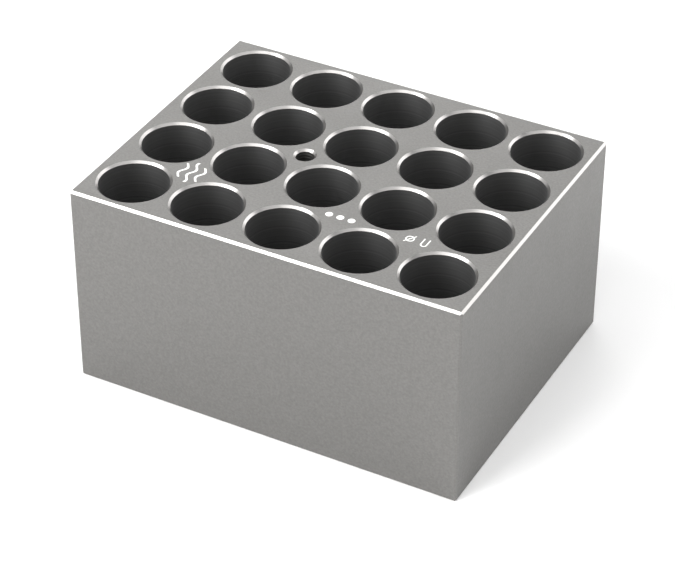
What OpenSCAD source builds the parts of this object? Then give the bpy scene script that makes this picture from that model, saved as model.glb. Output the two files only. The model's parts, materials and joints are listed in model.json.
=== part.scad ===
// Heating block of a dry block heater. One solid aluminium block holds a grid
// of blind wells for test tubes and a tapped hole for a lifting rod, and three
// engraved marks on its top face are filled with white enamel.
//
// Frame: the origin is the centre of the underside. +X runs along the long
// side, +Y to the back and +Z up, out of the wells.

/* [Block] */
// Length of the block, along X
block_l = 94.5; // [94:0.5:100]
// Width of the block, along Y
block_w = 73.5; // [73:0.5:80]
// Height of the block, along Z
block_h = 50; // [48:1:60]
// Leg of the 45 degree chamfer along every outer edge
edge_chamfer = 0.5; // [0.2:0.1:0.6]

/* [Wells] */
// Number of wells along X
well_columns = 5; // [4:1:5]
// Number of wells along Y
well_rows = 4; // [3:1:4]
// Distance between the axes of neighbouring wells, along X
pitch_x = 18.4; // [17.5:0.1:18.6]
// Distance between the axes of neighbouring wells, along Y
pitch_y = 17.9; // [17.5:0.1:18]
// Diameter of a well
well_d = 15.8; // [14:0.1:16.2]
// Depth of a well, from the top face to its flat floor
well_depth = 45; // [30:1:45]
// Radius that the cutter leaves between a well's wall and its floor
well_floor_r = 1; // [0.5:0.1:2]
// Leg of the 45 degree chamfer at a well's mouth
mouth_chamfer = 0.5; // [0.2:0.1:0.6]

/* [Lifting hole] */
// Diameter of the tapped hole at the crests of its thread, for M5
lift_d = 4.2; // [4:0.1:5]
// Depth of the hole's straight wall, from the top face
lift_depth = 15; // [10:1:25]
// Leg of the countersink at the hole's mouth
lift_chamfer = 0.5; // [0.2:0.1:0.8]
// Angle of the drill's point, measured across the cone
drill_point = 118; // [90:1:140]

/* [Marks] */
// Depth of the engraving
mark_depth = 0.2; // [0.1:0.05:0.5]
// Distance from the top face down to the enamel
enamel_drop = 0.02; // [0:0.01:0.05]
// Width of a bold engraved line
bold_line = 0.6; // [0.4:0.1:0.8]
// Width of a fine engraved line
fine_line = 0.32; // [0.2:0.02:0.4]

/* [Hidden] */

$fn = 96;
over = 1;                 // how far a cutting shape stands out of the block

well_r = well_d / 2;
well_floor_z = block_h - well_depth;
lift_r = lift_d / 2;

// Heat mark: three rising waves, the middle one the tallest
heat_wave_gap = 2.2;
heat_wave_sway = 0.5;
heat_wave_length = 4.4;
heat_wave_heights = [5.6, 8, 5.6];

// Index mark: a row of dots
index_dots = 3;
index_dot_d = 1.7;
index_dot_gap = 2.7;

// Size mark: a diameter sign beside the outline of a tube
size_ring_d = 2.1;
size_slash = 3.3;
size_slash_tilt = 55;
size_tube_w = 1.6;
size_tube_h = 2.9;
size_mark_gap = 1.75;     // from the mark's middle to the middle of each sign

// Middle of the land between four wells: the one past column i and row j,
// counted from the front left corner.
function land(i, j) = [(i - well_columns / 2) * pitch_x, (j - well_rows / 2) * pitch_y];

lift_at = land(2, 2);
heat_mark_at = land(1, 1);
index_mark_at = land(3, 1);
size_mark_at = land(4, 1);

// Rectangle about the origin with its corners cut at 45 degrees
module cut_rectangle(a, b, cut) {
    x = a / 2;
    y = b / 2;
    polygon([
        [x, y - cut], [x - cut, y], [cut - x, y], [-x, y - cut],
        [-x, cut - y], [cut - x, -y], [x - cut, -y], [x, cut - y]
    ]);
}

// Box standing on the XY plane, with all twelve edges chamfered
module chamfered_box(l, w, h, cut) {
    translate([0, 0, h / 2])
        intersection() {
            linear_extrude(h, center = true) cut_rectangle(l, w, cut);
            rotate([90, 0, 0]) linear_extrude(w, center = true) cut_rectangle(l, h, cut);
            rotate([0, 90, 0]) linear_extrude(l, center = true) cut_rectangle(h, w, cut);
        }
}

// Cone that cuts a 45 degree chamfer at the mouth of a hole in the top face
module mouth_cone(r, chamfer) {
    translate([0, 0, block_h - chamfer])
        cylinder(h = chamfer + over, r1 = r, r2 = r + chamfer + over);
}

// Space of one well: straight wall, radius round the floor, chamfered mouth
module well() {
    rotate_extrude() {
        translate([0, well_floor_z + well_floor_r])
            square([well_r, well_depth - well_floor_r + over]);
        translate([0, well_floor_z])
            square([well_r - well_floor_r, well_floor_r + over]);
        translate([well_r - well_floor_r, well_floor_z + well_floor_r])
            circle(well_floor_r);
    }
    mouth_cone(well_r, mouth_chamfer);
}

module well_grid() {
    for (i = [0 : well_columns - 1], j = [0 : well_rows - 1])
        translate(land(i + 0.5, j + 0.5)) well();
}

// Space of the lifting hole: drilled to a point, then countersunk
module lifting_hole() {
    point_h = lift_r / tan(drill_point / 2);
    translate([0, 0, block_h - lift_depth]) {
        cylinder(h = lift_depth + over, r = lift_r);
        translate([0, 0, -point_h]) cylinder(h = point_h, r1 = 0, r2 = lift_r);
    }
    mouth_cone(lift_r, lift_chamfer);
}

// Upright wavy line of the given height, through the origin
module wave_line(height) {
    steps = 24;
    function middle(t) = heat_wave_sway * sin(360 * height * (t - 0.5) / heat_wave_length);
    function side(t, offset) = [middle(t) + offset, height * (t - 0.5)];
    polygon(concat(
        [for (k = [0 : steps]) side(k / steps, bold_line / 2)],
        [for (k = [steps : -1 : 0]) side(k / steps, -bold_line / 2)]
    ));
}

module heat_mark() {
    for (k = [-1 : 1])
        translate([k * heat_wave_gap, 0]) wave_line(heat_wave_heights[k + 1]);
}

module index_mark() {
    for (k = [0 : index_dots - 1])
        translate([(k - (index_dots - 1) / 2) * index_dot_gap, 0]) circle(d = index_dot_d);
}

// Diameter sign: a ring with a slash through it
module diameter_sign() {
    difference() {
        circle(d = size_ring_d);
        circle(d = size_ring_d - 2 * fine_line);
    }
    rotate(size_slash_tilt) square([size_slash, fine_line], center = true);
}

// Outline of a tube with a round bottom, open at the top
module tube_sign() {
    function bow(r, a) = [r * cos(a), r * sin(a) + size_tube_w / 2 - size_tube_h / 2];
    outer_r = size_tube_w / 2;
    inner_r = outer_r - fine_line;
    top = size_tube_h / 2;
    polygon(concat(
        [[-outer_r, top]], [for (a = [180 : 15 : 360]) bow(outer_r, a)], [[outer_r, top]],
        [[inner_r, top]], [for (a = [360 : -15 : 180]) bow(inner_r, a)], [[-inner_r, top]]
    ));
}

module size_mark() {
    translate([-size_mark_gap, 0]) diameter_sign();
    translate([size_mark_gap, 0]) tube_sign();
}

// Pocket of an engraved mark, which reaches out of the top face
module engraving(at) {
    translate([at.x, at.y, block_h - mark_depth])
        linear_extrude(mark_depth + over) children();
}

// Enamel that fills such a pocket almost to the top face
module enamel(at) {
    color("white")
        translate([at.x, at.y, block_h - mark_depth])
            linear_extrude(mark_depth - enamel_drop) children();
}

module heating_block() {
    color("silver")
        difference() {
            chamfered_box(block_l, block_w, block_h, edge_chamfer);
            well_grid();
            translate(lift_at) lifting_hole();
            engraving(heat_mark_at) heat_mark();
            engraving(index_mark_at) index_mark();
            engraving(size_mark_at) size_mark();
        }
}

module heat_mark_enamel() {
    enamel(heat_mark_at) heat_mark();
}

module index_mark_enamel() {
    enamel(index_mark_at) index_mark();
}

module size_mark_enamel() {
    enamel(size_mark_at) size_mark();
}

heating_block();
heat_mark_enamel();
index_mark_enamel();
size_mark_enamel();
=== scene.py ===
# %% [markdown]
# # A heating block for tubes, finished as the workshop leaves it
#
# The real piece is one block of aluminium, sawn from bar and machined all over.
# Wells for test tubes are bored into its top, the edges and the wells' mouths
# are chamfered, and the block is blasted with fine beads and anodised. Three
# marks are engraved in the top face and filled with white enamel. The shape
# comes from the CAD frame and stays as it is. This script decides how each
# surface was made, and sets up a small white studio round the block.

import json
import math

import bpy
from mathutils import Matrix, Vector


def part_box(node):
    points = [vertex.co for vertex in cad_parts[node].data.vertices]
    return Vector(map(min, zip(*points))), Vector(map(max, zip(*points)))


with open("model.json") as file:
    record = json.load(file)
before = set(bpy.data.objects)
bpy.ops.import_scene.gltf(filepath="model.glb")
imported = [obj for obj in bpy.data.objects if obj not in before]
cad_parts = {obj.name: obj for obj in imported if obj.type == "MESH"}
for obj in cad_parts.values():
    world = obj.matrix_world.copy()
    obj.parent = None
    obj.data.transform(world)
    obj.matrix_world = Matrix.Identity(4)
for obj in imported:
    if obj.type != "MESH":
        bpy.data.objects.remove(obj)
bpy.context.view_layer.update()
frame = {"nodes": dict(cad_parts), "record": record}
MM = 0.001
low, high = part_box("heating_block")
print("block, mm:", [round((b - a) / MM, 2) for a, b in zip(low, high)])

# %% [markdown]
# ## Where the holes are
#
# Every machined surface carries the trace of the tool that made it, and the
# traces in a hole follow its axis. The frame's record lists each hole with its
# place, radius and straight length, so the grid of wells is read from there and
# not typed in again.

# %% Read the holes from the record
mounts = {mount["name"]: mount for mount in frame["record"]["mounts"]}
wells = [mount for name, mount in mounts.items() if name.startswith("well_")]
columns = sorted({well["pos_m"][0] for well in wells})
rows = sorted({well["pos_m"][1] for well in wells})
pitch = (columns[1] - columns[0], rows[1] - rows[0])
lifting_hole = mounts["lifting_hole"]


def straight_wall(hole):
    """Radius of a hole, and the heights at which its straight wall starts and ends."""
    middle = hole["pos_m"][2]
    half = hole["dims"]["length_mm"] * MM / 2
    return hole["dims"]["r_mm"] * MM, middle - half, middle + half


well_radius, well_foot, well_mouth = straight_wall(wells[0])
lift_radius, lift_foot, lift_mouth = straight_wall(lifting_hole)
chamfer_leg = high.z - well_mouth
print(len(wells), "wells, pitch in mm:", [round(step / MM, 2) for step in pitch])
print("chamfer at a mouth, mm:", round(chamfer_leg / MM, 2))

# %% [markdown]
# ## Two helpers for materials
#
# Colour charts give sRGB values, but a renderer adds light in linear values, so
# hex colours pass through one conversion. The other helper adds any shader
# node. Its inputs come as a dictionary whose values are numbers or sockets of
# earlier nodes, and its settings come as keywords. Each node could be added,
# set and linked line by line instead, but then a pattern of five nodes fills a
# screen and its idea gets lost.


# %% Colour conversion and the node helper
def linear(hex_colour):
    """An sRGB hex colour as linear RGBA."""
    channels = [int(hex_colour[i:i + 2], 16) / 255 for i in (1, 3, 5)]
    return [c / 12.92 if c <= 0.04045 else ((c + 0.055) / 1.055) ** 2.4 for c in channels] + [1.0]


def add(tree, kind, inputs=None, **settings):
    """Adds a node, sets its properties, fills or links its inputs and returns it."""
    node = tree.nodes.new("ShaderNode" + kind)
    for name, value in settings.items():
        setattr(node, name, value)
    for key, value in (inputs or {}).items():
        if isinstance(value, bpy.types.NodeSocket):
            tree.links.new(value, node.inputs[key])
        else:
            node.inputs[key].default_value = value
    return node


print("#808080 is", round(linear("#808080")[0], 3), "in linear light")

# %% [markdown]
# ## Anodised aluminium
#
# Bare aluminium reflects about nine tenths of the light. The grey anodised
# layer takes that down to about a fifth on the blasted faces, and to two fifths
# where a cutter left the metal smooth. So the block is a metal, fully metallic
# in the shader, with a dark base colour. What differs from one surface to the
# next is the texture that the last tool left. Dimples and grooves could be cut
# into the mesh, but they are finer than any mesh should be, and the mesh is the
# CAD's. So each texture is one pattern from 0 to 1. A bump node turns it into
# tilts of the surface, and the pattern can also paint the colour a little darker
# in its hollows and lighter on its crests, as painted shade and light.


# %% Start a material and leave a tool's texture on it
def start_material(name, surface):
    """A material with one Principled shader. Returns it, its tree, the shader and the place of a point."""
    material = bpy.data.materials.new(name)
    material.use_nodes = True
    tree = material.node_tree
    tree.nodes.clear()
    shader = add(tree, "BsdfPrincipled", surface)
    add(tree, "OutputMaterial", {"Surface": shader.outputs["BSDF"]})
    return material, tree, shader, add(tree, "TexCoord").outputs["Object"]


def anodised(name, colour, roughness):
    """Anodised aluminium of one colour and one roughness."""
    return start_material(name, {"Base Color": linear(colour), "Metallic": 1.0, "Roughness": roughness})


def texture(tree, shader, pattern, depth, painted_shade=0):
    """Presses a pattern from 0 to 1 this deep into the surface, and paints its low parts darker and its
    high parts lighter by this share, as painted shade and light.
    """
    bump = add(tree, "Bump", {"Height": pattern, "Distance": depth, "Strength": 1.0})
    tree.links.new(bump.outputs["Normal"], shader.inputs["Normal"])
    # Painted shade and light: the colour is darker where the pattern is low and lighter where it is high.
    if painted_shade:
        colour = shader.inputs["Base Color"]
        limits = {"Value": pattern, "To Min": 1 - painted_shade, "To Max": 1 + painted_shade}
        share = add(tree, "MapRange", limits).outputs["Result"]
        painted_shade_colour = add(tree, "VectorMath", {0: colour.default_value[:3], "Scale": share}, operation="SCALE")
        tree.links.new(painted_shade_colour.outputs["Vector"], colour)


def cut(tree, shader, along, feed, depth, painted_shade=0):
    """Leaves the uneven marks of a tool that moves on by this feed for each turn."""
    marks = add(tree, "TexNoise", {"W": along, "Scale": 1 / feed, "Detail": 1.0}, noise_dimensions="1D")
    texture(tree, shader, marks.outputs["Fac"], depth, painted_shade)


# %% [markdown]
# ## Blasted faces
#
# Beads leave dimples about a tenth of a millimetre wide, which spread each
# highlight into an even sheen. A rough metal without them would do for the
# sheen, but it would look like painted card. So a noise pattern stands for the
# dimples. It is drawn nearly five times as coarse as life, because the real
# ones are smaller than the render can show. The same pattern paints the colour
# a little darker in their bottoms and lighter on their rims, as painted shade
# and light of the dimples. A second, broad pattern varies the roughness, as the
# passes of the blasting nozzle do.

# %% Material: blasted and anodised aluminium
BLASTED_GREY = "#7C7B79"
BLASTED_SHEEN = (0.38, 0.46)
DIMPLE = 0.48 * MM
DIMPLE_DEPTH = 0.03 * MM
# Painted shade and light: the share by which the dimples' bottoms are darkened and their rims lightened.
DIMPLE_PAINTED_SHADE = 0.18
NOZZLE_PASS = 14 * MM

blasted, tree, shader, place = anodised(
    "blasted_anodised_aluminium", BLASTED_GREY, roughness=sum(BLASTED_SHEEN) / 2
)
dimples = add(tree, "TexNoise", {"Vector": place, "Scale": 1 / DIMPLE, "Detail": 1.0}).outputs["Fac"]
texture(tree, shader, dimples, DIMPLE_DEPTH, DIMPLE_PAINTED_SHADE)
passes = add(tree, "TexNoise", {"Vector": place, "Scale": 1 / NOZZLE_PASS, "Detail": 3.0}).outputs["Fac"]
smoothest, roughest = BLASTED_SHEEN
sheen = add(tree, "MapRange", {"Value": passes, "To Min": smoothest, "To Max": roughest})
tree.links.new(sheen.outputs["Result"], shader.inputs["Roughness"])
print("dimples drawn", round(DIMPLE / MM, 2), "mm wide")

# %% [markdown]
# ## Cut chamfers
#
# The long edges of the top and the wells' mouths are chamfered after blasting,
# with a 45 degree cutter. They could share the blasted material, but then the
# block would lose its bright outline. The cut is smoother and a little lighter,
# and it faces the softboxes, so it shows as crisp bright lines. A faint
# waviness along the cut keeps the lines from looking drawn with a ruler.

# %% Material: chamfers cut after blasting
MACHINED_GREY = "#A7A5A3"
CHATTER = 1.2 * MM
CHATTER_DEPTH = 0.001 * MM

chamfered, tree, shader, place = anodised("chamfer_cut_anodised_aluminium", MACHINED_GREY, roughness=0.30)
waves = add(tree, "TexNoise", {"Vector": place, "Scale": 1 / CHATTER, "Detail": 1.0}).outputs["Fac"]
texture(tree, shader, waves, CHATTER_DEPTH)
print("chatter drawn", round(CHATTER / MM, 2), "mm long")

# %% [markdown]
# ## Bored walls
#
# A boring head turns as it sinks, so the wall of a well carries fine rings, one
# for each turn. They stretch the light in a well into a soft upright streak. An
# anisotropic shader could stretch it too, but it would show no rings up close.
# A row of random heights along the depth draws them as uneven as real ones are,
# and the deeper parts of the rings are painted a little darker, as painted shade.
# Real ones are about a tenth of a millimetre apart, and these are drawn over
# four times as coarse so that they show. Beads don't reach into the wells, so
# the walls stay lighter than the faces. They look darker only because so little
# light gets down there.

# %% Material: bored walls
BORED_GREY = "#A9A9A9"
BORING_FEED = 0.45 * MM
RING_DEPTH = 0.02 * MM
# Painted shade: the share by which the deeper parts of the rings are darkened.
RING_PAINTED_SHADE = 0.25

bored, tree, shader, place = anodised("bored_anodised_aluminium", BORED_GREY, roughness=0.43)
z = add(tree, "SeparateXYZ", {"Vector": place}).outputs["Z"]
cut(tree, shader, z, BORING_FEED, RING_DEPTH, RING_PAINTED_SHADE)
print("rings drawn", round(BORING_FEED / MM, 2), "mm apart")

# %% [markdown]
# ## Milled floors
#
# An end mill flattens the floor of each well, and its rings lie round the
# well's axis. Each floor could have a material of its own with its own centre.
# One formula serves all twenty instead: the distance from the nearest axis,
# where a wrap folds X and Y into one step of the grid.


# %% Material: milled floors
def from_well_axis(tree, place):
    """Distance of a point from the axis of the well it is in."""
    x, y = add(tree, "SeparateXYZ", {"Vector": place}).outputs[:2]
    folded = {}
    for axis, value, first, step in (("X", x, columns[0], pitch[0]), ("Y", y, rows[0], pitch[1])):
        moved = add(tree, "Math", {0: value, 1: first}, operation="SUBTRACT").outputs[0]
        wrapped = add(tree, "Math", {0: moved, 1: step / 2, 2: -step / 2}, operation="WRAP")
        folded[axis] = wrapped.outputs[0]
    flat = add(tree, "CombineXYZ", folded).outputs[0]
    return add(tree, "VectorMath", {0: flat}, operation="LENGTH").outputs["Value"]


milled, tree, shader, place = anodised("end_milled_anodised_aluminium", MACHINED_GREY, roughness=0.38)
cut(tree, shader, from_well_axis(tree, place), BORING_FEED, RING_DEPTH)
print("rings on a floor:", round(well_radius / BORING_FEED))

# %% [markdown]
# ## The tapped hole
#
# A tap leaves a V groove that climbs one pitch for each turn. It could be cut
# into the solid, but the CAD keeps the hole plain, at the crests of the thread.
# So the groove is a pattern too. A point's height above a helix is its depth
# less its angle's share of a turn, and a ping-pong of that runs from the crests
# to the roots and back. An M5 thread is 0.43 mm deep. It is drawn a third as
# deep, because a bump throws no shadow, and a full thread would look lit from
# inside.

# %% Material: tapped wall
THREAD_PITCH = 0.8 * MM
THREAD_HEIGHT = 0.15 * MM

tapped, tree, shader, place = anodised("tapped_anodised_aluminium", BLASTED_GREY, roughness=0.50)
lift_axis = (*lifting_hole["pos_m"][:2], 0)
centred = add(tree, "VectorMath", {0: place, 1: lift_axis}, operation="SUBTRACT")
across, along, height = add(tree, "SeparateXYZ", {"Vector": centred.outputs["Vector"]}).outputs
angle = add(tree, "Math", {0: along, 1: across}, operation="ARCTAN2").outputs[0]
turn = add(tree, "Math", {0: angle, 1: math.tau}, operation="DIVIDE").outputs[0]
climb = add(tree, "Math", {0: height, 1: THREAD_PITCH}, operation="DIVIDE").outputs[0]
helix = add(tree, "Math", {0: climb, 1: turn}, operation="SUBTRACT").outputs[0]
groove = add(tree, "Math", {0: helix, 1: 0.5}, operation="PINGPONG").outputs[0]
texture(tree, shader, groove, THREAD_HEIGHT)
print("turns of thread:", round((lift_mouth - lift_foot) / THREAD_PITCH, 1))

# %% [markdown]
# ## The underside
#
# The face that meets the hot plate has to be flat, so it is skimmed with a face
# mill and not blasted. A face mill leaves arcs, each one feed step ahead of the
# last. Circles round one point would be simpler, but they would curve too much
# at one end and hardly at all at the other. So the arc through a point is told
# apart by the place where it crosses the middle line.

# %% Material: face-milled underside
MILL_RADIUS = 50 * MM
MILL_FEED = 0.6 * MM
MILL_DEPTH = 0.02 * MM

skimmed, tree, shader, place = anodised("face_milled_anodised_aluminium", MACHINED_GREY, roughness=0.34)
x, y = add(tree, "SeparateXYZ", {"Vector": place}).outputs[:2]
square = add(tree, "Math", {0: y, 1: y}, operation="MULTIPLY").outputs[0]
rest = add(tree, "Math", {0: MILL_RADIUS ** 2, 1: square}, operation="SUBTRACT").outputs[0]
reach = add(tree, "Math", {0: rest}, operation="SQRT").outputs[0]
crossing = add(tree, "Math", {0: x, 1: reach}, operation="SUBTRACT").outputs[0]
cut(tree, shader, crossing, MILL_FEED, MILL_DEPTH)
print("arcs along the underside:", round((high.x - low.x) / MILL_FEED))

# %% [markdown]
# ## Enamel in the engraving
#
# The marks are filled with white stoving enamel, wiped level and baked. A coat
# over a base could stand for its gloss, but it is only a satin paint, so a
# plain dielectric does, with the slight unevenness that the wiping leaves.

# %% Material: white enamel
WIPE = 0.5 * MM
WIPE_DEPTH = 0.01 * MM

enamel, tree, shader, place = start_material(
    "white_stoving_enamel", {"Base Color": linear("#F4F3F0"), "Roughness": 0.35, "IOR": 1.5}
)
wiped = add(tree, "TexNoise", {"Vector": place, "Scale": 1 / WIPE, "Detail": 2.0}).outputs["Fac"]
texture(tree, shader, wiped, WIPE_DEPTH)
print("wiping marks drawn", round(WIPE / MM, 2), "mm wide")

# %% [markdown]
# ## Which tool cut which face
#
# The block is one mesh. Its shape is never touched, but each of its faces can
# point at its own material. The faces could be picked by hand, but a change in
# the CAD would undo that, so they are sorted by where they are. A face near the
# axis of a hole belongs to that hole: above its straight wall is the chamfer,
# and below it the floor. Outside the holes, the slope tells a chamfer of the
# top or of the foot from a face. The upright edges were chamfered before
# blasting, so they count as blasted.

# %% Sort the block's faces
HAIR = 0.01 * MM
CHAMFER_SLOPE = math.sin(math.radians(45))
SLOPE_SLACK = 0.1


def nearest(values, wanted):
    """The value that lies nearest to the wanted one."""
    return min(values, key=lambda value: abs(value - wanted))


def finish_of(face):
    """The material that the last tool left on this face."""
    centre = face.center
    off_slope = abs(abs(face.normal.z) - CHAMFER_SLOPE)
    from_lift = math.hypot(centre.x - lifting_hole["pos_m"][0], centre.y - lifting_hole["pos_m"][1])
    from_well = math.hypot(centre.x - nearest(columns, centre.x), centre.y - nearest(rows, centre.y))
    below_top = HAIR < high.z - centre.z
    above_foot = HAIR < centre.z - low.z
    if below_top and from_lift < lift_radius + chamfer_leg:
        return tapped if centre.z < lift_mouth else chamfered
    if below_top and above_foot and from_well < well_radius + chamfer_leg:
        if centre.z > well_mouth:
            return chamfered
        return bored if centre.z > well_foot else milled
    if not above_foot:
        return skimmed
    return chamfered if off_slope < SLOPE_SLACK else blasted


block = frame["nodes"]["heating_block"]
finishes = [blasted, chamfered, bored, milled, tapped, skimmed]
block.data.materials.clear()
for finish in finishes:
    block.data.materials.append(finish)
for face in block.data.polygons:
    face.material_index = finishes.index(finish_of(face))
used = [face.material_index for face in block.data.polygons]
print("faces:", {finish.name: used.count(i) for i, finish in enumerate(finishes)})

# %% [markdown]
# ## Fill the marks
#
# The frame holds one node of enamel for each mark, already in its pocket a
# little below the top face, so all three only take the enamel.

# %% Give the marks their enamel
marks = [node for name, node in frame["nodes"].items() if name.endswith("_enamel")]
for mark in marks:
    mark.data.materials.clear()
    mark.data.materials.append(enamel)
print("marks filled:", [mark.name for mark in marks])

# %% [markdown]
# ## The camera
#
# The camera stands to the right of the front and looks down at about 36
# degrees, so the top with its wells shows as well as two sides. A short lens
# from close by would do that too, but it would splay the block's uprights. A
# long lens from well back keeps them close to parallel.


# %% Place the camera
def direction(azimuth, elevation):
    """Unit vector to a place in the studio. Azimuth 0 is in front and 90 to the right."""
    a, e = math.radians(azimuth), math.radians(elevation)
    return Vector((math.sin(a) * math.cos(e), -math.cos(a) * math.cos(e), math.sin(e)))


CAMERA_TOWARDS = direction(28.21, 35.87)
CAMERA_DISTANCE = 576 * MM
CAMERA_ROLL = math.radians(0.076)
CAMERA_AIM = Vector((1.2, -4.2, 19.1)) * MM
SENSOR_WIDTH = 36
LENS = 136.67

camera_data = bpy.data.cameras.new("camera")
camera_data.sensor_width = SENSOR_WIDTH
camera_data.lens = LENS
camera = bpy.data.objects.new("camera", camera_data)
bpy.context.scene.collection.objects.link(camera)
camera.location = CAMERA_AIM + CAMERA_TOWARDS * CAMERA_DISTANCE
camera.rotation_euler = CAMERA_TOWARDS.to_track_quat("Z", "Y").to_euler()
camera.rotation_euler.rotate_axis("Z", CAMERA_ROLL)
bpy.context.scene.camera = camera
print("camera stands", round(CAMERA_DISTANCE, 3), "m from its aim")

# %% [markdown]
# ## The floor
#
# The block stands on a sheet of white paper, much larger than the view, so its
# edge never shows. A sheet swept up behind the block is the other usual way,
# and it isn't needed while the view looks down. Studio paper holds a brightener,
# which makes it as white as a surface can be.

# %% Lay the paper
PAPER_SIZE = 12

bpy.ops.mesh.primitive_plane_add(size=PAPER_SIZE, location=(0, 0, 0))
floor = bpy.context.object
floor.name = "floor"
paper = start_material(
    "brightened_paper", {"Base Color": linear("#FCFCFC"), "Roughness": 0.9, "Specular IOR Level": 0.2}
)[0]
floor.data.materials.append(paper)
print("floor lies at z =", round(floor.location.z, 3))

# %% [markdown]
# ## Soft light for metal
#
# Metal shows its surroundings, so one big even light would leave it flat, and
# each softbox is placed by what mirrors it. The long chamfers and the wells'
# mouths mirror a ring of sky. It is brightest in front on the left and behind
# on the right, and darker in between, which gives the mouths their bright
# crescents and the top its white outline. The top face mirrors one panel behind
# on the left. The front and the right side mirror the paper, so they fade
# towards the foot, where the block shades it. The panels overhead also lighten
# that shade.

# %% Hang the softboxes
SOFTBOX_DISTANCE = 2.0
SOFTBOXES = {
    # name: azimuth, elevation, width and height in metres, power in watts
    "front_left_panel": (-47, 37, 1.15, 0.84, 25),
    "front_panel": (-22, 23, 0.7, 1.6, 28),
    "front_overhead": (0, 58, 0.9, 0.84, 7),
    "right_front_overhead": (45, 58, 0.9, 0.84, 3),
    "right_overhead": (90, 58, 0.9, 0.84, 3.5),
    "overhead": (0, 90, 1.2, 1.2, 6),
    "back_right_panel": (135, 47, 0.8, 1.65, 13),
    "low_back_right_panel": (150, 15, 1.0, 0.8, 7.5),
    "low_back_panel": (180, 12, 0.8, 0.8, 4),
    "back_left_panel": (-148, 35, 1.3, 0.84, 9.8),
    "left_panel": (-90, 23, 0.7, 1.6, 3),
}
for name, (azimuth, elevation, width, height, power) in SOFTBOXES.items():
    light = bpy.data.lights.new(name, "AREA")
    light.shape = "RECTANGLE"
    light.size, light.size_y, light.energy = width, height, power
    softbox = bpy.data.objects.new(name, light)
    bpy.context.scene.collection.objects.link(softbox)
    towards = direction(azimuth, elevation)
    softbox.location = towards * SOFTBOX_DISTANCE
    softbox.rotation_euler = towards.to_track_quat("Z", "Y").to_euler()
print(len(SOFTBOXES), "softboxes,", sum(box[-1] for box in SOFTBOXES.values()), "W in all")

# %% [markdown]
# ## The room
#
# White walls return a little light from every side. Walls could be built, but
# an even glow of the world does the same and renders faster. The Standard view
# shows the colours as they are, without a film curve, so that white paper stays
# white.

# %% Fill light and view
ROOM_GLOW = 0.18

room = bpy.data.worlds.new("white_room")
room.use_nodes = True
background = room.node_tree.nodes["Background"]
background.inputs["Color"].default_value = linear("#FFFFFF")
background.inputs["Strength"].default_value = ROOM_GLOW
bpy.context.scene.world = room
bpy.context.scene.view_settings.view_transform = "Standard"
print("room glow:", ROOM_GLOW)
